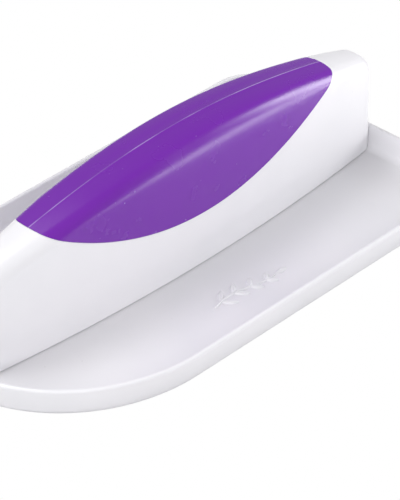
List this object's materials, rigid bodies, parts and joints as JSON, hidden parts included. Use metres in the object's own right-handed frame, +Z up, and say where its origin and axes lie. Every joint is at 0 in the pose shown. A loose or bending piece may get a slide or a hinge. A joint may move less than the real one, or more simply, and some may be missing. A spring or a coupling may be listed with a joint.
{
  "type": "cake smoother",
  "caption": "Flat tray-shaped sole, rounded at one end, with an upturned rim and a tall bar handle that carries a soft lens-shaped grip.",
  "frame": {"origin": "centre of the tool's footprint, on the table", "axes": "+X along the handle towards the straight end, +Y to the left when looking along +X, +Z up from the sole to the grip"},
  "size_m": [0.1536, 0.0826, 0.0417],
  "materials": {
    "white_plastic": "satin moulded white plastic",
    "carrier_plastic": "plain moulded plastic, hidden",
    "soft_purple": "soft-touch purple elastomer with a low sheen",
    "screw_steel": "zinc-plated steel"
  },
  "bodies": {
    "root": {"sole_plate": "white_plastic", "handle_shell": "white_plastic", "grip_carrier": "carrier_plastic", "soft_grip": "soft_purple", "screw_round_end": "screw_steel", "screw_middle": "screw_steel", "screw_straight_end": "screw_steel"}
  },
  "joints": []
}
